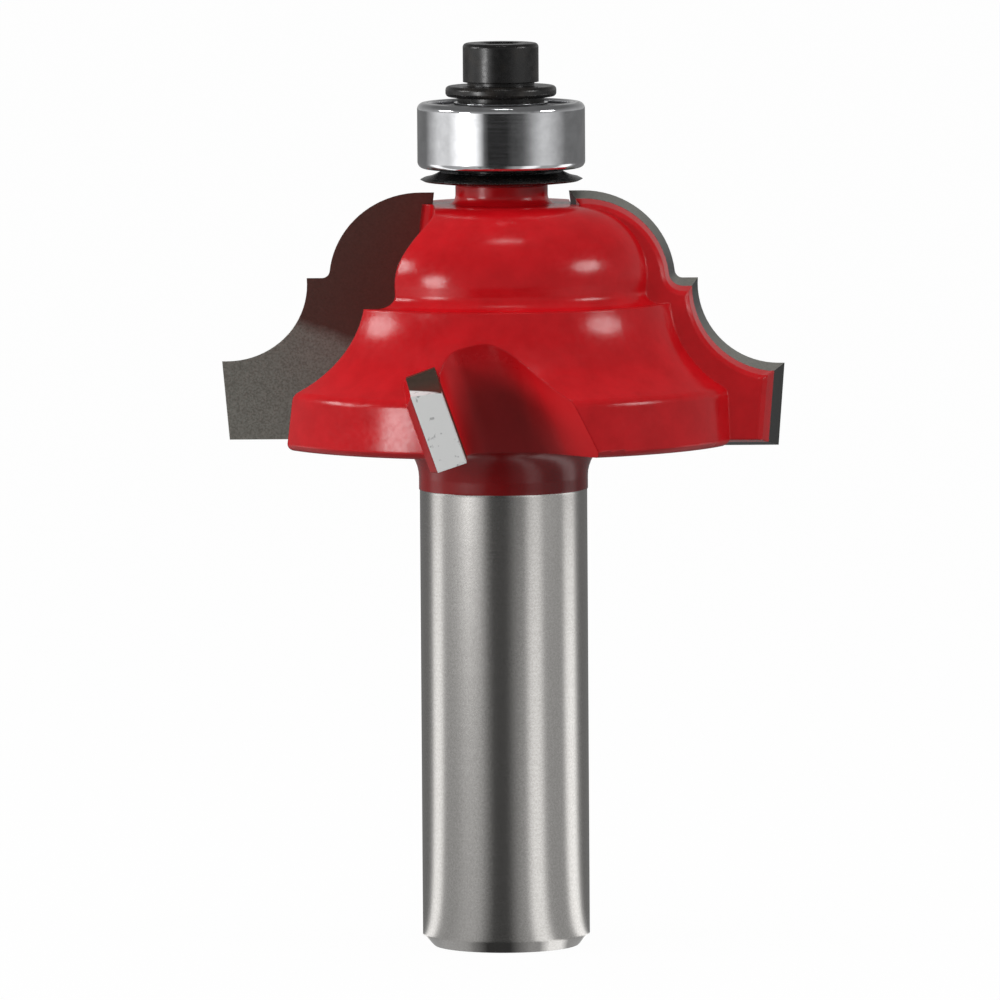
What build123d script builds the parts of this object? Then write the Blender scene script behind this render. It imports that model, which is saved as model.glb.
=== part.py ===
from build123d import *

import os
from math import cos, radians, sin, sqrt, tan

# A shank-mounted cove-and-bead router bit that stands on its shank end.
# Origin: centre of the shank's end face. +Z runs up the axis to the tip, and
# seen from the tip the bit cuts counter-clockwise. Millimetres throughout.

# Shank and overall sizes
shank_diameter = 12.7
shank_chamfer = 0.85
collar_length = 3.5
coating_thickness = 0.06
collar_fillet = 2.8

# Cutting form, as the cutting edges sweep it
head_base = 38.3
carbide_height = 19.05
bead_center_radius = 6.2
bead_radius = 6.95
bead_root_fillet = 0.6
bead_height = 6.55
step_width = 1.68
cove_center_drop = 0.25
cove_radius = 6.15
cove_lip = 0.45

# Body of revolution behind the cutting edges
body_bead_setback = 1.35
body_top_setback = 0.9
body_root_fillet = 1.0
body_step_setback = 1.65
body_cove_setback = 2.7
body_cove_shift = 1.3
body_land_setback = 2.83
body_land_draft = 0.5
body_base_lift = 0.25
body_edge_round = 0.9
body_rim_round = 0.5

# Main cutters: two carbide plates, brazed to pads that grow out of the body
main_turns = (0, 180)
main_tip_thickness = 2.0
main_shear_angle = 13.0
main_face_setback = 1.55
main_relief_angle = 13.0
main_land_relief_angle = 22.0
main_land_draft = 0.3
main_base_relief_angle = 11.0
base_clearance_margin = 0.4
base_clearance_run_out = 0.7
main_pad_thickness = 1.6
main_pad_bevel = 0.25

# Gullet ahead of each main cutter
gullet_floor_radius = 5.1
gullet_floor_angle = 7.0
gullet_front_wall = 8.6
gullet_wall_angle = 2.0
gullet_corner_fillet = 2.2
gullet_root_fillet = 0.8
gullet_overrun = 3.5

# Side cutters: two smaller carbide plates on the land, sheared the other way
side_turns = (90, 270)
side_shear_angle = -19.4
side_face_setback = 3.85
side_tip_thickness = 2.26
side_tip_width = 6.4
side_tip_rise = 0.9
side_base_lift = 0.33
side_cove_setback = 0.55
side_relief_angle = 9.0
side_pad_thickness = 0.6
side_pad_fall = 2.4
side_pad_drop = 0.9

# Pocket ahead of each side cutter
pocket_floor_radius = 12.3
pocket_floor_width = 5.7
pocket_floor_angle = 12.0
pocket_flare_angle = 42.0
pocket_flare_fillet = 4.2
pocket_root_fillet = 2.2
pocket_run_out = 3.0

# Pilot spindle at the tip
neck_radius = 3.5
neck_fillet = 0.65
shoulder_to_seat = 1.45
spindle_fit = 0.005
spindle_set_down = 0.3
spindle_chamfer = 0.25

# Guide bearing, a shielded deep-groove ball bearing
bearing_bore = 4.7625
bearing_outside = 12.7
bearing_width = 4.978
bearing_corner = 0.5
bore_corner = 0.2
ball_count = 7
ball_diameter = 2.381
groove_clearance = 0.03
pitch_radius = 4.35
land_gap = 1.6
outer_lip = 0.75
shield_thickness = 0.25
shield_set_in = 0.3
shield_gap = 0.12
wire_radius = 0.16
wire_groove_depth = 0.16
cage_clearance = 0.22
cage_pocket_clearance = 0.06
cage_base_thickness = 0.5
cage_finger_height = 0.75

# Dished dust shield under the bearing, and the clamping stack above it
dust_shield_radius = 6.15
dust_shield_hub_radius = 4.7
dust_shield_rim_thickness = 0.3
dust_shield_height = 1.25
dust_shield_rise = 0.25
dust_shield_rim_angle = 8.5
race_seat_radius = 3.3
race_seat_height = 0.28
washer_boss_radius = 3.3
washer_boss_height = 0.42
washer_flange_radius = 4.2
washer_flange_thickness = 0.82
washer_seat_radius = 2.55
washer_seat_height = 0.3
washer_round = 0.3
washer_hole_clearance = 0.12
screw_diameter = 3.5
screw_hole_clearance = 0.03
screw_reach = 9.0
screw_hole_extra = 1.2
screw_head_radius = 2.87
screw_head_height = 2.932
screw_head_round = 0.3
socket_across_flats = 2.78
socket_depth = 1.7
screw_point = 0.35

# Heights that follow from the sizes above
blade_top = head_base + carbide_height
step_top = blade_top - bead_height
bead_center_height = blade_top - bead_radius
cove_center_height = step_top - cove_center_drop
cove_center_radius = bead_center_radius + bead_radius + step_width + cove_radius
cutting_radius = cove_center_radius + cove_lip
shank_radius = shank_diameter / 2
coating_start = head_base - collar_length
body_base = head_base + body_base_lift
dome_radius = bead_radius - body_bead_setback
dome_center_height = blade_top - body_top_setback - dome_radius
shoulder_height = dome_center_height + dome_radius
seat_height = shoulder_height + shoulder_to_seat
bearing_base = seat_height + dust_shield_height
bearing_top = bearing_base + bearing_width
bearing_middle = (bearing_base + bearing_top) / 2
washer_flange_base = bearing_top + washer_boss_height
washer_top = washer_flange_base + washer_flange_thickness + washer_seat_height
screw_head_top = washer_top + screw_head_height
bore_radius = bearing_bore / 2
outside_radius = bearing_outside / 2
ball_radius = ball_diameter / 2
inner_land_radius = pitch_radius - land_gap / 2
outer_land_radius = pitch_radius + land_gap / 2
shield_recess_radius = outside_radius - outer_lip

os.makedirs("parts", exist_ok=True)


def save(part, name):
    part.label = name
    export_step(part, f"parts/{name}.step")


def turned(profile_points):
    """Ring or disc turned from a closed outline of (radius, height) points."""
    with BuildPart() as ring:
        with BuildSketch(Plane.XZ):
            with BuildLine():
                Polyline(*profile_points, close=True)
            make_face()
        revolve(axis=Axis.Z)
    return ring.part


def rake_plane(shear, setback, middle_height):
    """Rake face of a cutter that points along +X and cuts towards +Y.

    The plane's own axes run outwards along the cutter and up its face, and its
    normal points back into the carbide.
    """
    lean = radians(shear)
    return Plane(
        origin=(0, -setback, middle_height),
        x_dir=(1, 0, 0),
        z_dir=(0, -cos(lean), sin(lean)),
    )


def face_y(face, height, trail=0):
    """Where the plane a distance behind the rake face stands at a height."""
    rise = (height - face.origin.Z) * face.z_dir.Z
    return face.origin.Y + (trail - rise) / face.z_dir.Y


def on_face(face, trail, radius, height, inward=0):
    """Sketch point a distance behind the rake face, from a cutting radius and height."""
    offset_y = min(abs(face_y(face, height)), radius)
    reach = sqrt(radius**2 - offset_y**2)
    rise = height - face.origin.Z - trail * face.z_dir.Z
    return (reach - inward, -rise / face.z_dir.Y)


def arc_middle(center, start, end, radius):
    """Point half way along an arc of a profile, from its centre and its ends."""
    middle = Vector((start[0] + end[0]) / 2 - center[0], (start[1] + end[1]) / 2 - center[1])
    scale = radius / middle.length
    return (center[0] + middle.X * scale, center[1] + middle.Y * scale)


# Main cutter

main_face = rake_plane(main_shear_angle, main_face_setback, head_base + carbide_height / 2)


def floor_radius(height):
    """Distance of the sloping gullet floor from the axis."""
    return gullet_floor_radius + (blade_top - height) * tan(radians(gullet_floor_angle))


def main_section(trail, bevel=0):
    """Outline of the main cutter a distance behind its rake face.

    It is the bead, step, cove and land form, drawn in by the relief there, and
    by the bevel at the back of the pad.
    """
    relief = trail * tan(radians(main_relief_angle)) + bevel
    land_relief = trail * tan(radians(main_land_relief_angle)) + bevel
    base = head_base + trail * tan(radians(main_base_relief_angle))
    bead = bead_radius - relief
    step = step_top - relief
    cove = cove_radius + relief
    root = bead_root_fillet + relief
    root_rise = step_top + bead_root_fillet - bead_center_height
    root_reach = sqrt((bead_radius + bead_root_fillet) ** 2 - root_rise**2)
    share = bead / (bead_radius + bead_root_fillet)
    bead_center = (bead_center_radius, bead_center_height)
    root_center = (bead_center_radius + root_reach, bead_center_height + root_rise)
    cove_center = (cove_center_radius, cove_center_height)
    bead_start = (bead_center_radius, bead_center_height + bead)
    bead_end = (
        bead_center_radius + root_reach * share,
        bead_center_height + root_rise * share,
    )
    root_end = (root_center[0], step)
    step_drop = step - cove_center_height
    step_corner = (cove_center_radius - sqrt(cove**2 - step_drop**2), step)
    cove_end = (
        cove_center_radius - land_relief,
        cove_center_height - sqrt(cove**2 - land_relief**2),
    )

    def place(point, inward=0):
        return on_face(main_face, trail, point[0], point[1], inward)

    inner_top = (floor_radius(blade_top) + relief, place(bead_start)[1])
    inner_base = (floor_radius(head_base) + relief, place((cutting_radius, base))[1])
    land_top = place((cutting_radius, cove_end[1]), land_relief)
    land_base = place((cutting_radius, base), land_relief + main_land_draft)
    bead_arc = [bead_start, arc_middle(bead_center, bead_start, bead_end, bead), bead_end]
    root_arc = [bead_end, arc_middle(root_center, bead_end, root_end, root), root_end]
    cove_arc = [step_corner, arc_middle(cove_center, step_corner, cove_end, cove), cove_end]
    with BuildSketch(main_face.offset(trail)) as section:
        with BuildLine():
            Polyline(inner_base, inner_top, place(bead_start))
            for arc in (bead_arc, root_arc, cove_arc):
                ThreePointArc(*[place(point) for point in arc])
            Line(place(root_end), place(step_corner))
            Polyline(place(cove_end), land_top, land_base, inner_base)
        make_face()
    return section.sketch


with BuildPart() as main_tip:
    loft(sections=[main_section(0), main_section(main_tip_thickness)], ruled=True)

main_pad_end = main_tip_thickness + main_pad_thickness
with BuildPart() as main_pad:
    loft(
        sections=[
            main_section(main_tip_thickness),
            main_section(main_pad_end - main_pad_bevel),
            main_section(main_pad_end, main_pad_bevel),
        ],
        ruled=True,
    )

# Clearance ground under the main cutter, which runs on under its pad

clearance_top = head_base + main_pad_end * tan(radians(main_base_relief_angle))
clearance_front = face_y(main_face, head_base)
clearance_back = face_y(main_face, clearance_top, main_pad_end)
clearance_foot = head_base - base_clearance_margin
with BuildPart() as base_clearance:
    with BuildSketch(Plane.YZ.offset(floor_radius(head_base) - base_clearance_margin)):
        with BuildLine():
            Polyline(
                (clearance_front, head_base),
                (clearance_back, clearance_top),
                (clearance_back - base_clearance_run_out, head_base),
                (clearance_back - base_clearance_run_out, clearance_foot),
                (clearance_front, clearance_foot),
                close=True,
            )
        make_face()
    extrude(amount=cutting_radius)

# Gullet ahead of the main cutter: its rear face is flush with the carbide, its
# floor stands beside the spindle and its front wall leans away towards the base

gullet_reach = 2 * cutting_radius
gullet_wall = Plane(
    origin=(0, gullet_front_wall, step_top),
    x_dir=(1, 0, 0),
    z_dir=(0, cos(radians(gullet_wall_angle)), sin(radians(gullet_wall_angle))),
)
with BuildPart() as gullet:
    low = head_base - gullet_overrun
    high = blade_top + gullet_overrun
    low_y = on_face(main_face, 0, cutting_radius, low)[1]
    high_y = on_face(main_face, 0, cutting_radius, high)[1]
    with BuildSketch(main_face):
        with BuildLine():
            Polyline(
                (floor_radius(low), low_y),
                (gullet_reach, low_y),
                (gullet_reach, high_y),
                (floor_radius(high), high_y),
                close=True,
            )
        make_face()
    extrude(amount=-gullet_reach)
    split(bisect_by=gullet_wall, keep=Keep.BOTTOM)
    floor_face = gullet.faces().sort_by(Axis.X)[0]
    floor_edges = floor_face.edges().sort_by(Axis.Y)
    fillet(floor_edges[0], gullet_root_fillet)
    floor_face = gullet.faces().sort_by(Axis.X)[0]
    floor_edges = floor_face.edges().sort_by(Axis.Y)
    fillet(floor_edges[-1], gullet_corner_fillet)

# Side cutter: a plate on the land and the foot of the cove

side_tip_top = cove_center_height - cove_radius + side_tip_rise
side_middle = (head_base + side_tip_top) / 2
side_face = rake_plane(side_shear_angle, side_face_setback, side_middle)


def side_section(trail, fall=0, drop=0):
    """Outline of the side cutter a distance behind its rake face.

    Its top and base are square to the rake face. At the back of the pad the
    outline falls inwards, and its top drops, until it is flush with the body.
    """
    relief = trail * tan(radians(side_relief_angle))
    sink = trail * side_face.z_dir.Z
    cove = cove_radius + side_cove_setback + relief
    cove_center = (cove_center_radius, cove_center_height)
    top_height = side_tip_top + sink
    base_height = head_base + side_base_lift + sink
    top_reach = sqrt(cove**2 - (cove_center_height - top_height) ** 2)
    cove_start = (cove_center_radius - top_reach, top_height)
    cove_end_radius = cove_center_radius - relief
    cove_end = (cove_end_radius, cove_center_height - sqrt(cove**2 - relief**2))
    cove_middle = arc_middle(cove_center, cove_start, cove_end, cove)

    def place(radius, height, lower):
        flat_x, flat_y = on_face(side_face, trail, radius, height)
        return (flat_x - fall, flat_y - lower)

    arc = [place(*point, drop) for point in (cove_start, cove_middle, cove_end)]
    land_top = place(cutting_radius - relief, cove_end[1], drop)
    land_base = place(cutting_radius - relief, base_height, 0)
    inner_x = cutting_radius - side_tip_width - fall
    with BuildSketch(side_face.offset(trail)) as section:
        with BuildLine():
            Polyline(land_base, (inner_x, land_base[1]), (inner_x, arc[0][1]), arc[0])
            ThreePointArc(*arc)
            Polyline(arc[-1], land_top, land_base)
        make_face()
    return section.sketch


with BuildPart() as side_tip:
    loft(sections=[side_section(0), side_section(side_tip_thickness)], ruled=True)

side_pad_end = side_tip_thickness + side_pad_thickness
with BuildPart() as side_pad:
    loft(
        sections=[
            side_section(side_tip_thickness),
            side_section(side_pad_end, side_pad_fall, side_pad_drop),
        ],
        ruled=True,
    )

# Pocket ahead of the side cutter: a milled channel that follows the rake face,
# rises outwards and flares on its far side

pocket_base = head_base - pocket_run_out
pocket_top = blade_top
pocket_rise = tan(radians(pocket_floor_angle))
side_lean = tan(radians(side_shear_angle))
pocket_run = Vector(pocket_rise, side_lean, 1)
rake_at_base = -side_face_setback + (pocket_base - side_middle) * side_lean
floor_at_base = pocket_floor_radius - (head_base - pocket_base) * pocket_rise
flare_reach = 2 * cutting_radius
flare = tan(radians(pocket_flare_angle))
with BuildPart() as pocket:
    with BuildSketch(Plane.XY.offset(pocket_base)) as pocket_section:
        with BuildLine():
            Polyline(
                (floor_at_base, rake_at_base),
                (floor_at_base + flare_reach, rake_at_base),
                (
                    floor_at_base + flare_reach,
                    rake_at_base + pocket_floor_width + flare_reach * flare,
                ),
                (floor_at_base, rake_at_base + pocket_floor_width),
                close=True,
            )
        make_face()
        for corner, radius in (
            ((floor_at_base, rake_at_base), pocket_root_fillet),
            ((floor_at_base, rake_at_base + pocket_floor_width), pocket_flare_fillet),
        ):
            fillet(pocket_section.vertices().sort_by_distance(corner)[0], radius)
    extrude(
        amount=(pocket_top - pocket_base) * pocket_run.length,
        dir=pocket_run.normalized(),
    )

# Cutter body: shank, head and pilot spindle turned from one bar, then milled

body_cove_radius = cove_radius + body_cove_setback
body_cove_center = (cove_center_radius + body_cove_shift, cove_center_height)
body_step_height = step_top - body_step_setback
body_step_reach = sqrt(body_cove_radius**2 - (cove_center_height - body_step_height) ** 2)
body_cove_corner = (body_cove_center[0] - body_step_reach, body_step_height)
body_land_radius = cutting_radius - body_land_setback
land_top_radius = body_land_radius - body_land_draft
land_top_reach = body_cove_center[0] - land_top_radius
body_cove_end = (
    land_top_radius,
    cove_center_height - sqrt(body_cove_radius**2 - land_top_reach**2),
)
body_cove_middle = arc_middle(
    body_cove_center, body_cove_corner, body_cove_end, body_cove_radius
)
dome_side = bead_center_radius + dome_radius
dome_start = (bead_center_radius, shoulder_height)
dome_end = (dome_side, dome_center_height)
dome_middle = arc_middle(
    (bead_center_radius, dome_center_height), dome_start, dome_end, dome_radius
)
collar_radius = shank_radius + coating_thickness
spindle_radius = bore_radius - spindle_fit
spindle_top = bearing_top - spindle_set_down
screw_hole_radius = screw_diameter / 2 + screw_hole_clearance
screw_hole_depth = screw_reach + screw_hole_extra

with BuildPart() as cutter_body:
    with BuildSketch(Plane.XZ) as half_section:
        with BuildLine():
            Polyline(
                (0, 0),
                (shank_radius - shank_chamfer, 0),
                (shank_radius, shank_chamfer),
                (shank_radius, coating_start),
                (collar_radius, coating_start),
                (collar_radius, body_base),
                (body_land_radius, body_base),
                body_cove_end,
            )
            ThreePointArc(body_cove_end, body_cove_middle, body_cove_corner)
            Polyline(
                body_cove_corner,
                (dome_side, body_step_height),
                dome_end,
            )
            ThreePointArc(dome_end, dome_middle, dome_start)
            Polyline(
                dome_start,
                (neck_radius, shoulder_height),
                (neck_radius, seat_height),
                (spindle_radius, seat_height),
                (spindle_radius, spindle_top - spindle_chamfer),
                (spindle_radius - spindle_chamfer, spindle_top),
                (0, spindle_top),
                (0, 0),
            )
        make_face()

        def round_corner(point, radius):
            fillet(half_section.vertices().sort_by_distance(point)[0], radius)

        round_corner((collar_radius, body_base), collar_fillet)
        round_corner((body_land_radius, body_base), body_rim_round)
        round_corner(body_cove_end, body_edge_round)
        round_corner((dome_side, body_step_height), body_root_fillet)
        round_corner((neck_radius, shoulder_height), neck_fillet)
    revolve(axis=Axis.Z)
    for turn in main_turns:
        with Locations(Location((0, 0, 0), (0, 0, turn))):
            add(gullet.part, mode=Mode.SUBTRACT)
    for turn in side_turns:
        with Locations(Location((0, 0, 0), (0, 0, turn))):
            add(pocket.part, mode=Mode.SUBTRACT)
    for turn in main_turns:
        with Locations(Location((0, 0, 0), (0, 0, turn))):
            add(main_pad.part)
            add(main_tip.part, mode=Mode.SUBTRACT)
            add(base_clearance.part, mode=Mode.SUBTRACT)
    for turn in side_turns:
        with Locations(Location((0, 0, 0), (0, 0, turn))):
            add(side_pad.part)
            add(side_tip.part, mode=Mode.SUBTRACT)
    with Locations((0, 0, spindle_top)):
        Hole(screw_hole_radius, depth=screw_hole_depth)

save(cutter_body.part, "cutter_body")

for index, turn in enumerate(main_turns, start=1):
    with BuildPart() as main_blade:
        with Locations(Location((0, 0, 0), (0, 0, turn))):
            add(main_tip.part)
    save(main_blade.part, f"main_blade_{index}")

for index, turn in enumerate(side_turns, start=1):
    with BuildPart() as side_blade:
        with Locations(Location((0, 0, 0), (0, 0, turn))):
            add(side_tip.part)
    save(side_blade.part, f"side_blade_{index}")

# Dished dust shield, clamped between the neck and the bearing's inner race

shield_underside = seat_height + dust_shield_rise
shield_rim_top = shield_underside + dust_shield_rim_thickness
shield_crown = bearing_base - race_seat_height
with BuildPart() as dust_shield:
    with BuildSketch(Plane.XZ) as shield_section:
        with BuildLine():
            Polyline(
                (spindle_radius, seat_height),
                (neck_radius, seat_height),
                (dust_shield_radius - dust_shield_rim_thickness, shield_underside),
                (dust_shield_radius, shield_underside + dust_shield_rim_thickness / 2),
                (dust_shield_radius - dust_shield_rim_thickness, shield_rim_top),
            )
            TangentArc(
                (dust_shield_radius - dust_shield_rim_thickness, shield_rim_top),
                (dust_shield_hub_radius, shield_crown),
                tangent=(-1, tan(radians(dust_shield_rim_angle))),
            )
            Polyline(
                (dust_shield_hub_radius, shield_crown),
                (race_seat_radius, shield_crown),
                (race_seat_radius, bearing_base),
                (spindle_radius, bearing_base),
                (spindle_radius, seat_height),
            )
        make_face()
    revolve(axis=Axis.Z)
save(dust_shield.part, "dust_shield")

# Bearing races, with a ball groove between them and a recess for each shield

groove_radius = ball_radius + groove_clearance
shield_top_face = bearing_width / 2 - shield_set_in


def race(points, corners, corner_radius):
    """Turned race with its outer corners rounded and the ball groove cut in."""
    with BuildPart() as ring:
        with BuildSketch(Plane.XZ) as race_section:
            with BuildLine():
                Polyline(*points, close=True)
            make_face()
            for corner in corners:
                fillet(race_section.vertices().sort_by_distance(corner)[0], corner_radius)
            with Locations((pitch_radius, bearing_middle)):
                Circle(groove_radius, mode=Mode.SUBTRACT)
        revolve(axis=Axis.Z)
    return ring.part


recess_base = bearing_middle + shield_top_face - shield_thickness
recess_foot = bearing_middle - shield_top_face + shield_thickness
outer_race = race(
    [
        (outside_radius, bearing_base),
        (outside_radius, bearing_top),
        (shield_recess_radius, bearing_top),
        (shield_recess_radius, recess_base),
        (outer_land_radius, recess_base),
        (outer_land_radius, recess_foot),
        (shield_recess_radius, recess_foot),
        (shield_recess_radius, bearing_base),
    ],
    [(outside_radius, bearing_base), (outside_radius, bearing_top)],
    bearing_corner,
)
save(outer_race, "outer_race")

inner_race = race(
    [
        (bore_radius, bearing_base),
        (bore_radius, bearing_top),
        (inner_land_radius, bearing_top),
        (inner_land_radius, bearing_base),
    ],
    [(bore_radius, bearing_base), (bore_radius, bearing_top)],
    bore_corner,
)
save(inner_race, "inner_race")

# Balls, in line with the pockets of the crown-shaped cage that spaces them

for index in range(ball_count):
    angle = radians(360 / ball_count * index)
    with BuildPart() as ball:
        with Locations(
            (pitch_radius * cos(angle), pitch_radius * sin(angle), bearing_middle)
        ):
            Sphere(ball_radius)
    save(ball.part, f"ball_{index + 1}")

cage_inner = inner_land_radius + cage_clearance
cage_outer = outer_land_radius - cage_clearance
cage_base = bearing_middle - ball_radius - cage_pocket_clearance - cage_base_thickness
cage_top = bearing_middle + cage_finger_height
with BuildPart() as ball_cage:
    with BuildSketch(Plane.XY.offset(cage_base)):
        Circle(cage_outer)
        Circle(cage_inner, mode=Mode.SUBTRACT)
    extrude(amount=cage_top - cage_base)
    with Locations((0, 0, bearing_middle)):
        with PolarLocations(pitch_radius, ball_count):
            Sphere(ball_radius + cage_pocket_clearance, mode=Mode.SUBTRACT)
save(ball_cage.part, "ball_cage")

# Shields that close the bearing, and the round wire rings that hold them

for name, side in (("upper", 1), ("lower", -1)):
    outer_face = bearing_middle + side * shield_top_face
    inner_face = outer_face - side * shield_thickness
    save(
        turned(
            [
                (inner_land_radius + shield_gap, inner_face),
                (shield_recess_radius, inner_face),
                (shield_recess_radius, outer_face),
                (inner_land_radius + shield_gap, outer_face),
            ]
        ),
        f"{name}_bearing_shield",
    )
    with BuildPart() as wire:
        with BuildSketch(Plane.XZ):
            with Locations(
                (shield_recess_radius - wire_radius, outer_face + side * wire_radius)
            ):
                Circle(wire_radius)
        revolve(axis=Axis.Z)
    save(wire.part, f"{name}_retaining_ring")

# Flanged washer: its boss presses on the inner race and its flange is bevelled

screw_radius = screw_diameter / 2
washer_bore = screw_radius + washer_hole_clearance
flange_top = washer_flange_base + washer_flange_thickness
with BuildPart() as top_washer:
    with BuildSketch(Plane.XZ) as washer_section:
        with BuildLine():
            Polyline(
                (washer_bore, bearing_top),
                (washer_boss_radius, bearing_top),
                (washer_boss_radius, washer_flange_base),
                (washer_flange_radius, washer_flange_base),
                (washer_flange_radius, flange_top),
                (washer_seat_radius, flange_top),
                (washer_seat_radius, washer_top),
                (washer_bore, washer_top),
                close=True,
            )
        make_face()
        for corner_height in (washer_flange_base, flange_top):
            corner = washer_section.vertices().sort_by_distance(
                (washer_flange_radius, corner_height)
            )
            fillet(corner[0], washer_round)
    revolve(axis=Axis.Z)
save(top_washer.part, "top_washer")

# Socket-head cap screw that clamps the stack

socket_radius = socket_across_flats / sqrt(3)
with BuildPart() as cap_screw:
    with BuildSketch(Plane.XZ) as screw_section:
        with BuildLine():
            Polyline(
                (0, washer_top - screw_reach),
                (screw_radius - screw_point, washer_top - screw_reach),
                (screw_radius, washer_top - screw_reach + screw_point),
                (screw_radius, washer_top),
                (screw_head_radius, washer_top),
                (screw_head_radius, screw_head_top),
                (0, screw_head_top),
                close=True,
            )
        make_face()
        fillet(
            screw_section.vertices().sort_by_distance((screw_head_radius, screw_head_top))[0],
            screw_head_round,
        )
    revolve(axis=Axis.Z)
    with BuildSketch(Plane.XY.offset(screw_head_top)):
        RegularPolygon(socket_radius, 6)
    extrude(amount=-socket_depth, mode=Mode.SUBTRACT)
save(cap_screw.part, "cap_screw")
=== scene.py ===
from math import cos, pi, radians, sin

import bpy
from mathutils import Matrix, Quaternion, Vector


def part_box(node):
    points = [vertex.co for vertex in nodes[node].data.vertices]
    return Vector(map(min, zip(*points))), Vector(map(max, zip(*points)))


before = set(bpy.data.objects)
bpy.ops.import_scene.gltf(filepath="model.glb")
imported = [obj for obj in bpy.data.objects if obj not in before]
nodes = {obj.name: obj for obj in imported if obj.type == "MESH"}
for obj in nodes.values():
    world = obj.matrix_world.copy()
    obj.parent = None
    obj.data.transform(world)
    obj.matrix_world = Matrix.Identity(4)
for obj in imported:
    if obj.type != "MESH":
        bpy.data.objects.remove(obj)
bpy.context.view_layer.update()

# A cove-and-bead router bit on a pale floor. Metres, in the CAD's own frame.
# Azimuths are in degrees: 0 is on the camera's side of the bit, 90 on the right.
# A brightness of 1 is white.

MM = 0.001
scene = bpy.context.scene
scene.view_settings.view_transform = "Standard"

# Camera: from the front and a little above, as the photograph was taken

CAMERA_DISTANCE = 950 * MM
CAMERA_PITCH = radians(5.3)
CAMERA_ROLL = radians(-0.38)
CAMERA_AIM = Vector((-0.27, 0, 33.9)) * MM
CAMERA_LENS = 451
SENSOR_WIDTH = 36
CLIP_START = 0.05
CLIP_END = 20

camera_data = bpy.data.cameras.new("camera")
camera_data.lens = CAMERA_LENS
camera_data.sensor_width = SENSOR_WIDTH
camera_data.clip_start = CLIP_START
camera_data.clip_end = CLIP_END
camera = bpy.data.objects.new("camera", camera_data)
scene.collection.objects.link(camera)
away = Vector((0, -cos(CAMERA_PITCH), sin(CAMERA_PITCH)))
camera.location = CAMERA_AIM + away * CAMERA_DISTANCE
camera.rotation_mode = "QUATERNION"
roll = Quaternion((0, 0, 1), CAMERA_ROLL)
camera.rotation_quaternion = (-away).to_track_quat("-Z", "Y") @ roll
scene.camera = camera

# Node helpers. A mix node keeps its sockets for numbers and colours side by side,
# so these are taken by their place in the list.

RANGE_SOCKETS = ("From Min", "From Max", "To Min", "To Max")
NUMBER_SOCKETS = (0, 2, 3)
NUMBER_RESULT = 0
COLOUR_SOCKETS = (0, 6, 7)
COLOUR_RESULT = 2
BEVEL_SAMPLES = 6


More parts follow.
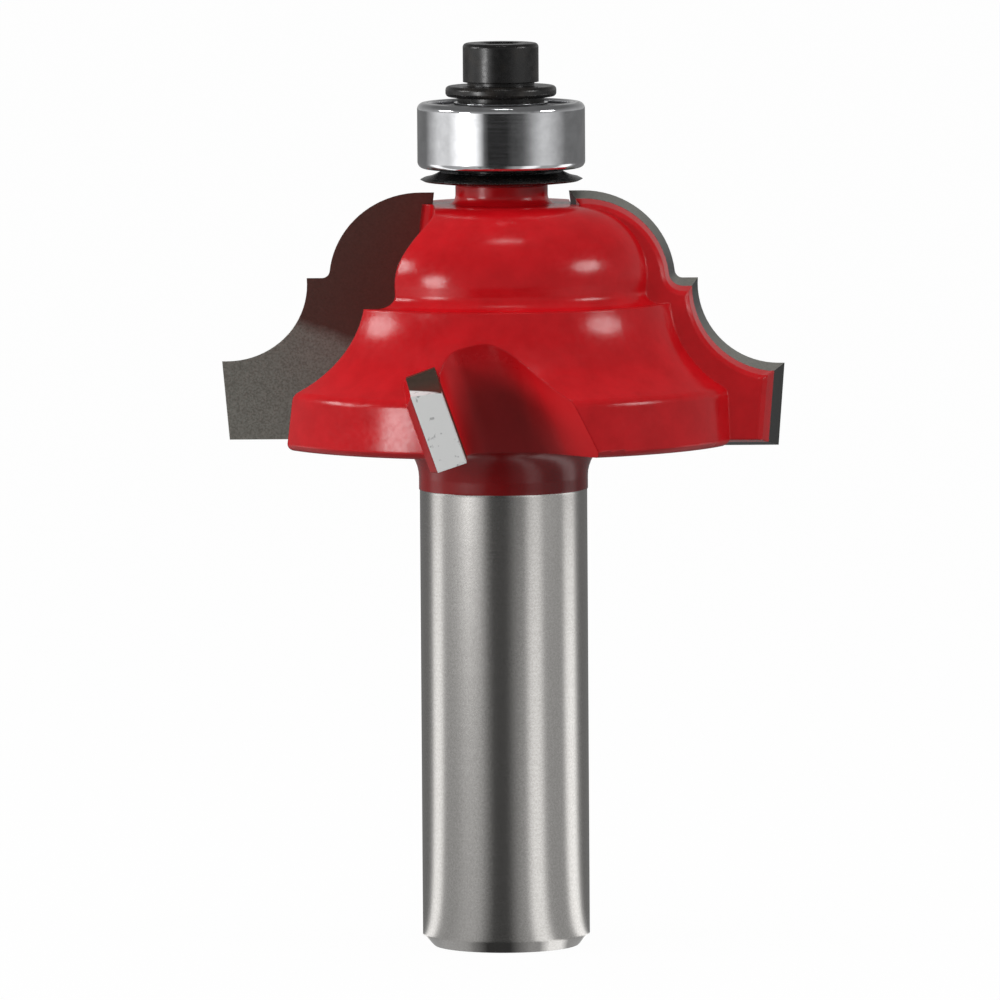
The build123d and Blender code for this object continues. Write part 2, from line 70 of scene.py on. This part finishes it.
class Nodes:
    """A node tree, with short calls for the nodes used here."""

    def __init__(self, tree):
        self.tree = tree

    def node(self, kind, **values):
        made = self.tree.nodes.new(kind)
        for key, value in values.items():
            setattr(made, key, value)
        return made

    def feed(self, value, socket):
        """Join a node's output to a socket, or set a plain number or colour there."""
        if hasattr(value, "links"):
            self.tree.links.new(value, socket)
        elif isinstance(value, tuple):
            socket.default_value = (*value, 1)
        else:
            socket.default_value = value

    def feed_all(self, values, made, places):
        for value, place in zip(values, places):
            self.feed(value, made.inputs[place])

    def position(self):
        return self.node("ShaderNodeTexCoord").outputs["Object"]

    def facing(self):
        return self.node("ShaderNodeTexCoord").outputs["Normal"]

    def axis(self, vector, letter):
        made = self.node("ShaderNodeSeparateXYZ")
        self.feed(vector, made.inputs[0])
        return made.outputs[letter]

    def axis_distance(self, place):
        """Distance of a point from the bit's axis."""
        squares = [self.math("POWER", self.axis(place, letter), 2.0) for letter in "XY"]
        return self.math("SQRT", self.math("ADD", *squares))

    def scaled(self, vector, scale):
        made = self.node("ShaderNodeMapping")
        made.inputs["Scale"].default_value = scale
        self.feed(vector, made.inputs["Vector"])
        return made.outputs["Vector"]

    def noise(self, vector, scale, detail=3.0, roughness=0.5):
        made = self.node("ShaderNodeTexNoise")
        values = (vector, scale, detail, roughness)
        self.feed_all(values, made, ("Vector", "Scale", "Detail", "Roughness"))
        return made.outputs["Fac"]

    def spread(self, value, *limits):
        """Number taken from one range to another, and held within the second."""
        made = self.node("ShaderNodeMapRange")
        self.feed_all((value, *limits), made, ("Value", *RANGE_SOCKETS))
        return made.outputs["Result"]

    def rise(self, value, start, end):
        """0 up to the start, 1 from the end on."""
        return self.spread(value, start, end, 0, 1)

    def fall(self, value, start, end):
        """1 up to the start, 0 from the end on."""
        return self.spread(value, start, end, 1, 0)

    def blend(self, factor, first, second):
        """Mix of two colours: the second where the factor is 1."""
        made = self.node("ShaderNodeMix", data_type="RGBA")
        self.feed_all((factor, first, second), made, COLOUR_SOCKETS)
        return made.outputs[COLOUR_RESULT]

    def mix_value(self, factor, first, second):
        """Mix of two numbers: the second where the factor is 1."""
        made = self.node("ShaderNodeMix", data_type="FLOAT")
        self.feed_all((factor, first, second), made, NUMBER_SOCKETS)
        return made.outputs[NUMBER_RESULT]

    def mix_shaders(self, factor, first, second):
        """Mix of two shaders: the second where the factor is 1."""
        made = self.node("ShaderNodeMixShader")
        self.feed_all((factor, first, second), made, range(3))
        return made.outputs[0]

    def math(self, operation, *values):
        made = self.node("ShaderNodeMath", operation=operation)
        self.feed_all(values, made, range(len(values)))
        return made.outputs[0]

    def bump(self, height, distance, strength, normal):
        made = self.node("ShaderNodeBump")
        values = (height, distance, strength, normal)
        self.feed_all(values, made, ("Height", "Distance", "Strength", "Normal"))
        return made.outputs["Normal"]

    def rounded(self, radius):
        """Normal of a surface whose edges look rounded."""
        made = self.node("ShaderNodeBevel", samples=BEVEL_SAMPLES)
        made.inputs["Radius"].default_value = radius
        return made.outputs["Normal"]

    def set(self, **values):
        """Values of the surface shader, by the names of its sockets."""
        for name, value in values.items():
            self.feed(value, self.tree.nodes["Principled BSDF"].inputs[name.replace("_", " ")])


def new_look(name):
    """New material, and its node tree."""
    material = bpy.data.materials.new(name)
    material.use_nodes = True
    return material, Nodes(material.node_tree)


# Places where the finish changes, from the CAD. Heights are above the shank's end,
# and radii and widths are from the axis.

COATING_EDGE = 34.8 * MM
COATING_WANDER = 0.08 * MM
COATING_BLUR = 0.02 * MM
SEAT_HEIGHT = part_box("dust_shield")[0][2]
HEAD_BASE = 38.3 * MM
HEAD_BLUR = 0.3 * MM
# Painted shade in the red lies deep in the pockets, on faces turned down and under the head;
# painted light lies on the pockets' flares. These say where.
POCKET_FLOOR = 13.2 * MM
POCKET_RIM = 15.4 * MM
POCKET_TOP = 43.0 * MM
POCKET_TOP_BLUR = 4 * MM
POCKET_SIDE = 9.0 * MM
POCKET_SIDE_BLUR = 1 * MM
FLARE_INWARD = (-0.9 * MM, -0.3 * MM)
OVERHANG_TILT = (-0.18, -0.1)
OVERHANG_SHADE = 0.6
LAND_RADIUS = 19.3 * MM
LAND_RADIUS_BLUR = 0.1 * MM
LAND_TOP = 43.8 * MM
LAND_TOP_BLUR = 0.03 * MM
# The brown on the rake faces starts above a slanted line, with this wander and blur.
BROWN_HEIGHT = 40.9 * MM
BROWN_SLOPE = 0.42
BROWN_WANDER = 0.5 * MM
BROWN_BLUR = 0.6 * MM
RAKE_FACING = (0.6, 0.8)
FLANK_FACING = (0.25, 0.85)

# Parts of a noise's range that are spread over colours, marks and roughness

TONE_SPAN = (0.35, 0.65)
GRAIN_SPAN = (0.36, 0.64)
PIT_SPAN = (0.62, 0.68)
WEAR_SPAN = (0.5, 0.75)
ROUGH_SPAN = (0.3, 0.7)

# Colours: the first of two is where the noise is low

STEEL_TONES = (0.51, 0.495, 0.475), (0.59, 0.575, 0.555)
RED_TONES = (0.58, 0.0040, 0.008), (0.68, 0.0065, 0.012)
# Painted light on the pockets' flares
FLARE_PAINTED_LIGHT_RED = (0.8, 0.0055, 0.011)
# Painted shade in the pockets and under the head, and how strongly it is laid on
PAINTED_SHADE_RED = (0.16, 0.012, 0.012)
PAINTED_SHADE_WEIGHT = 0.7
CARBIDE_TONES = (0.25, 0.246, 0.215), (0.385, 0.38, 0.34)
# Brown high on the rake faces
RAKE_BROWN_TONES = (0.115, 0.060, 0.050), (0.195, 0.098, 0.080)
# Painted shade on the carbide's steep flanks
PAINTED_FLANK_SHADE = (0.04, 0.042, 0.04)
SIDE_DARK_TONES = (0.032, 0.019, 0.013), (0.085, 0.055, 0.038)
# Ground land's near-white: its bright finish and a painted reflection of the key lamp
SILVER_AND_PAINTED_SHEEN = (0.95, 0.96, 0.95)
PIT_GREY = (0.55, 0.55, 0.55)
BLACK_TONES = (0.006, 0.006, 0.006), (0.012, 0.011, 0.011)
WORN_BROWN = (0.025, 0.02, 0.016)
POLISH_SHADE = 0.86

# Gloss, edges that look rounded, and the stretch of fine lines

ENAMEL_ROUGHNESS = (0.15, 0.24)
MILLED_ROUGHNESS = 0.6
ENAMEL_SHINE = 0.36
ENAMEL_EDGE = 0.22 * MM
STEEL_ROUGHNESS = (0.184, 0.22)
RING_RELIEF = 0.12
CARBIDE_ROUGHNESS = (0.3, 0.44)
CARBIDE_METAL = 0.5
CARBIDE_EDGE = 0.05 * MM
SIDE_ROUGHNESS = (0.3, 0.42)
SIDE_METAL = 0.1
SIDE_SHINE = 0.35
BEARING_EDGE = 0.06 * MM
POLISH_SPREAD = (0.8, 1.25)
BLACK_ROUGHNESS = (0.2, 0.33)
BLACK_EDGE = 0.12 * MM
PAPER_ROUGHNESS = 0.9
FINISH_LINES = (200, 200, 7000)
GRINDING_RINGS = (150, 150, 9000)


def painted_light_and_shade_masks(look, place, height):
    """Masks of painted shade (deep in the pockets and on faces turned down, there and under
    the head), of painted light on the pockets' flares, and of both in the pockets.
    """
    low = look.fall(height, POCKET_TOP, POCKET_TOP + POCKET_TOP_BLUR)
    side = look.math("ABSOLUTE", look.axis(place, "Y"))
    in_pocket = look.rise(side, POCKET_SIDE, POCKET_SIDE + POCKET_SIDE_BLUR)
    under_head = look.fall(height, HEAD_BASE, HEAD_BASE + HEAD_BLUR)
    facing = look.facing()
    inward = look.math("MULTIPLY", look.axis(place, "X"), look.axis(facing, "X"))
    flare = look.fall(inward, *FLARE_INWARD)
    downward_shade = look.spread(look.axis(facing, "Z"), *OVERHANG_TILT, OVERHANG_SHADE, 0)
    overhang_shade = look.math("SUBTRACT", downward_shade, flare)
    deep_shade = look.fall(look.axis_distance(place), POCKET_FLOOR, POCKET_RIM)
    painted_shade = look.math("MULTIPLY", look.math("MAXIMUM", deep_shade, overhang_shade), low)
    painted_shade = look.math("MULTIPLY", painted_shade, look.math("MAXIMUM", in_pocket, under_head))
    flare = look.math("MULTIPLY", flare, low)
    milled = look.math("MULTIPLY", look.math("MAXIMUM", painted_shade, flare), in_pocket)
    return painted_shade, flare, milled


def coated_steel():
    """Red enamel over ground steel: bare below the coating's edge and on the spindle, with
    painted shade in the pockets and under the head and painted light on the pockets' flares.
    """
    material, look = new_look("red_enamel_and_steel")
    place = look.position()
    height = look.axis(place, "Z")

    wander = look.noise(place, scale=260, detail=2)
    edge = look.math("ADD", height, look.spread(wander, 0, 1, -COATING_WANDER, COATING_WANDER))
    above_edge = look.rise(edge, COATING_EDGE - COATING_BLUR, COATING_EDGE + COATING_BLUR)
    below_seat = look.fall(height, SEAT_HEIGHT - COATING_BLUR, SEAT_HEIGHT + COATING_BLUR)
    painted = look.math("MULTIPLY", above_edge, below_seat)

    painted_shade, flare, milled = painted_light_and_shade_masks(look, place, height)
    mottle = look.noise(place, scale=420, detail=4, roughness=0.6)
    red = look.blend(look.rise(mottle, *TONE_SPAN), *RED_TONES)
    # Painted light: a lighter red on the pockets' flares.
    red = look.blend(flare, red, FLARE_PAINTED_LIGHT_RED)
    # Painted shade: a dark red laid over the pockets' floors, faces turned down and the collar
    # under the head.
    red = look.blend(look.math("MULTIPLY", painted_shade, PAINTED_SHADE_WEIGHT), red, PAINTED_SHADE_RED)
    grit = look.noise(place, scale=2600, detail=2)
    gloss = look.spread(grit, *ROUGH_SPAN, *ENAMEL_ROUGHNESS)
    gloss = look.mix_value(milled, gloss, MILLED_ROUGHNESS)
    orange_peel = look.noise(place, scale=700, detail=2)

    specks = look.noise(place, scale=6500, detail=3, roughness=0.6)
    steel = look.blend(look.rise(specks, *TONE_SPAN), *STEEL_TONES)
    rings = look.noise(look.scaled(place, GRINDING_RINGS), scale=1, detail=2)
    steel_gloss = look.spread(rings, *ROUGH_SPAN, *STEEL_ROUGHNESS)

    ring_relief = look.math("MULTIPLY", rings, RING_RELIEF)
    relief = look.mix_value(painted, ring_relief, orange_peel)
    edges = look.rounded(ENAMEL_EDGE)
    look.set(
        Base_Color=look.blend(painted, steel, red),
        Metallic=look.math("SUBTRACT", 1.0, painted),
        Roughness=look.mix_value(painted, steel_gloss, gloss),
        Specular_IOR_Level=ENAMEL_SHINE,
        Normal=look.bump(relief, distance=0.008 * MM, strength=0.4, normal=edges),
    )
    return material


def carbide():
    """Ground tungsten carbide: brown high on the rake face, with painted shade on steep
    flanks.
    """
    material, look = new_look("carbide")
    place = look.position()
    grain = look.noise(place, scale=6000, detail=3, roughness=0.65)
    colour = look.blend(look.rise(grain, *GRAIN_SPAN), *CARBIDE_TONES)

    patches = look.noise(place, scale=500, detail=3)
    # Brown high on the rake face, above a slanted line that wanders.
    reach = look.math("ABSOLUTE", look.axis(place, "X"))
    drop = look.math("MULTIPLY", reach, BROWN_SLOPE)
    slant = look.math("SUBTRACT", look.axis(place, "Z"), drop)
    blur = look.math("ADD", slant, look.spread(patches, 0, 1, -BROWN_WANDER, BROWN_WANDER))
    high = look.rise(blur, BROWN_HEIGHT - BROWN_BLUR, BROWN_HEIGHT + BROWN_BLUR)
    facing = look.facing()
    on_rake = look.rise(look.math("ABSOLUTE", look.axis(facing, "Y")), *RAKE_FACING)
    brown_top = look.math("MULTIPLY", high, on_rake)

    # Painted shade: steep flanks are dark grey, while faces turned up keep the carbide's
    # colour.
    flat = look.rise(look.axis(facing, "Z"), *FLANK_FACING)
    colour = look.blend(on_rake, look.blend(flat, PAINTED_FLANK_SHADE, colour), colour)
    edges = look.rounded(CARBIDE_EDGE)
    look.set(
        Base_Color=look.blend(brown_top, colour, look.blend(grain, *RAKE_BROWN_TONES)),
        Metallic=CARBIDE_METAL,
        Roughness=look.spread(grain, *ROUGH_SPAN, *CARBIDE_ROUGHNESS),
        Normal=look.bump(grain, distance=0.006 * MM, strength=0.5, normal=edges),
    )
    return material


def side_carbide():
    """Side cutter: a ground land painted near-white, for its bright ground finish and as a
    painted reflection of the key lamp, with dark carbide above and inside it.
    """
    material, look = new_look("side_carbide")
    place = look.position()
    grain = look.noise(place, scale=2600, detail=3, roughness=0.65)
    out = look.axis_distance(place)
    outside = look.rise(out, LAND_RADIUS, LAND_RADIUS + LAND_RADIUS_BLUR)
    height = look.axis(place, "Z")
    below = look.fall(height, LAND_TOP - LAND_TOP_BLUR, LAND_TOP + LAND_TOP_BLUR)
    land = look.math("MULTIPLY", outside, below)
    pits = look.rise(look.noise(place, scale=1500, detail=2), *PIT_SPAN)
    # The land's near-white is its ground finish and also a painted reflection of the key lamp.
    silver = look.blend(pits, SILVER_AND_PAINTED_SHEEN, PIT_GREY)
    edges = look.rounded(CARBIDE_EDGE)
    look.set(
        Base_Color=look.blend(land, look.blend(grain, *SIDE_DARK_TONES), silver),
        Metallic=SIDE_METAL,
        Specular_IOR_Level=SIDE_SHINE,
        Roughness=look.spread(grain, *ROUGH_SPAN, *SIDE_ROUGHNESS),
        Normal=look.bump(grain, distance=0.006 * MM, strength=0.4, normal=edges),
    )
    return material


def polished(name, colour, roughness, scale):
    """Bearing steel with fine finish lines, stretched as the scale says."""
    material, look = new_look(name)
    place = look.position()
    lines = look.noise(look.scaled(place, scale), scale=1, detail=2)
    cloud = look.noise(place, scale=900, detail=3)
    dim = tuple(part * POLISH_SHADE for part in colour)
    rough = (roughness * part for part in POLISH_SPREAD)
    edges = look.rounded(BEARING_EDGE)
    look.set(
        Base_Color=look.blend(look.rise(cloud, *TONE_SPAN), dim, colour),
        Metallic=1.0,
        Roughness=look.spread(lines, *ROUGH_SPAN, *rough),
        Normal=look.bump(lines, distance=0.002 * MM, strength=0.2, normal=edges),
    )
    return material


def black_oxide():
    """Semi-gloss black oxide, a little brown where it is worn."""
    material, look = new_look("black_oxide")
    place = look.position()
    grain = look.noise(place, scale=2200, detail=3, roughness=0.6)
    wear = look.rise(look.noise(place, scale=700, detail=4), *WEAR_SPAN)
    edges = look.rounded(BLACK_EDGE)
    look.set(
        Base_Color=look.blend(wear, look.blend(grain, *BLACK_TONES), WORN_BROWN),
        Roughness=look.spread(grain, *ROUGH_SPAN, *BLACK_ROUGHNESS),
        Normal=look.bump(grain, distance=0.008 * MM, strength=0.5, normal=edges),
    )
    return material


BLADE = carbide()
SIDE_BLADE = side_carbide()
BLACK = black_oxide()
RACE = polished("polished_race", (0.74, 0.745, 0.76), 0.1, FINISH_LINES)
BALL = polished("polished_ball", (0.8, 0.8, 0.81), 0.05, (900,) * 3)
CAGE = polished("pressed_cage", (0.5, 0.42, 0.3), 0.3, (2500,) * 3)
SHIELD = polished("pressed_shield", (0.42, 0.42, 0.44), 0.3, (3000,) * 3)

finish = {
    "cutter_body": coated_steel(),
    "dust_shield": BLACK,
    "top_washer": BLACK,
    "cap_screw": BLACK,
    "outer_race": RACE,
    "inner_race": RACE,
    "ball_cage": CAGE,
}
for side in ("upper", "lower"):
    finish[f"{side}_bearing_shield"] = SHIELD
    finish[f"{side}_retaining_ring"] = RACE
for index in (1, 2):
    finish[f"main_blade_{index}"] = BLADE
    finish[f"side_blade_{index}"] = SIDE_BLADE
for name, node in nodes.items():
    node.data.materials.clear()
    node.data.materials.append(finish.get(name, BALL))

# Floor: white to the camera. Polished metal sees bright and dark cards, painted as glow
# on the floor that only reflections see, round the bit on a near and on a far ring. Each card
# is given by its azimuth, half width and soft edge in degrees, and its brightness.

FLOOR_HALF = 3.0
NEAR_GREY = 0.42
FAR_GREY = 0.19
FAR_START = 0.39
FAR_BLEND = 0.03
NEAR_CARDS = (
    (180, 52, 12, 0.2),
    (-180, 52, 12, 0.2),
    (-6, 9, 17, 0.05),
    (42, 6, 9, 1.35),
    (-47, 9, 11, 0.5),
    (-104, 6, 9, 1.5),
    (102, 7, 9, 1.6),
)
FAR_CARDS = (
    (-78, 18, 30, 0.9),
    (-50, 14, 13, 1.5),
    (64, 5, 30, 0.74),
    (14, 6, 24, 0.07),
    (-5, 12, 9, 0.02),
)
PAPER_GREY = (0.25, 0.25, 0.25)
SHOWN_WHITE = (0.9, 0.9, 0.9)
SHOWN_GLOW = 0.97

floor_mesh = bpy.data.meshes.new("floor")
corners = [(-1, -1), (1, -1), (1, 1), (-1, 1)]
points = [(x * FLOOR_HALF, y * FLOOR_HALF, 0) for x, y in corners]
floor_mesh.from_pydata(points, [], [(0, 1, 2, 3)])
floor = bpy.data.objects.new("floor", floor_mesh)
scene.collection.objects.link(floor)
floor_material, paper = new_look("paper")
spot = paper.position()
front = paper.math("MULTIPLY", paper.axis(spot, "Y"), -1.0)
turn = paper.math("ARCTAN2", paper.axis(spot, "X"), front)


def laid_out(level, cards):
    """Brightness of the floor with cards laid on it, by azimuth."""
    for azimuth, half_width, soft_edge, card_level in cards:
        off = paper.math("ABSOLUTE", paper.math("SUBTRACT", turn, radians(azimuth)))
        on_card = paper.fall(off, radians(half_width), radians(half_width + soft_edge))
        level = paper.mix_value(on_card, level, card_level)
    return level


is_far = paper.rise(paper.axis_distance(spot), FAR_START, FAR_START + FAR_BLEND)
near_floor = laid_out(NEAR_GREY, NEAR_CARDS)
far_floor = laid_out(FAR_GREY, FAR_CARDS)
paper.set(Base_Color=PAPER_GREY, Roughness=PAPER_ROUGHNESS)
shown = paper.node("ShaderNodeBsdfDiffuse")
paper.feed(SHOWN_WHITE, shown.inputs["Color"])
glow = paper.node("ShaderNodeEmission")
mirror_glow = paper.node("ShaderNodeEmission")
paper.feed(paper.mix_value(is_far, near_floor, far_floor), mirror_glow.inputs["Strength"])
floor_ray = paper.node("ShaderNodeLightPath").outputs
plain = paper.tree.nodes["Principled BSDF"].outputs[0]
to_camera = paper.mix_shaders(SHOWN_GLOW, shown.outputs[0], glow.outputs[0])
to_rest = paper.mix_shaders(floor_ray["Is Glossy Ray"], plain, mirror_glow.outputs[0])
surface = paper.tree.nodes["Material Output"].inputs["Surface"]
paper.feed(paper.mix_shaders(floor_ray["Is Camera Ray"], to_rest, to_camera), surface)
floor_mesh.materials.append(floor_material)

# World: white where the camera sees it. It lights the bit softly from above, and
# polished faces see a grey room that is darker overhead. Each room is given by
# two heights of the view, of which 1 is straight up, and the brightness at both.

ROOM_LIGHT = (0.0, 0.8, 0.06, 0.8)
ROOM_MIRRORED = (0.05, 0.6, 0.42, 0.15)
ROOM_SHOWN = 1.0

world = bpy.data.worlds.new("studio")
world.use_nodes = True
scene.world = world
sky = Nodes(world.node_tree)
background = sky.tree.nodes["Background"]
background.inputs["Color"].default_value = (1, 1, 1, 1)
rise_of_view = sky.axis(sky.node("ShaderNodeTexCoord").outputs["Generated"], "Z")
sky_ray = sky.node("ShaderNodeLightPath").outputs
room_light = sky.spread(rise_of_view, *ROOM_LIGHT)
room_mirrored = sky.spread(rise_of_view, *ROOM_MIRRORED)
room = sky.mix_value(sky_ray["Is Glossy Ray"], room_light, room_mirrored)
room = sky.mix_value(sky_ray["Is Camera Ray"], room, ROOM_SHOWN)
sky.feed(room, background.inputs["Strength"])

# Lamps: azimuth, elevation, distance, width, height, and brightness of the face

LAMP_AIM = Vector((0, 0, 45 * MM))
SOFT_BOXES = {
    "key": (-50, 5.7, 0.30, 0.085, 0.071, 12.0),
    "left": (-84, 20, 0.30, 0.12, 0.075, 9.5),
    "right": (69, 22, 0.32, 0.125, 0.07, 9.0),
    "overhead": (6, 72, 0.45, 0.14, 0.02, 14.0),
}


def soft_box(name, azimuth, elevation, distance, width, height, face_level):
    """Oval soft box turned to the bit, hidden from the camera."""
    data = bpy.data.lights.new(name, "AREA")
    data.shape = "ELLIPSE"
    data.size = width
    data.size_y = height
    face_area = pi * width * height / 4
    data.energy = face_level * pi * face_area
    made = bpy.data.objects.new(name, data)
    made.visible_camera = False
    scene.collection.objects.link(made)
    yaw, pitch = radians(azimuth), radians(elevation)
    back = Vector((sin(yaw) * cos(pitch), -cos(yaw) * cos(pitch), sin(pitch)))
    made.location = LAMP_AIM + back * distance
    made.rotation_mode = "QUATERNION"
    made.rotation_quaternion = (-back).to_track_quat("-Z", "Y")


for name, values in SOFT_BOXES.items():
    soft_box(name, *values)
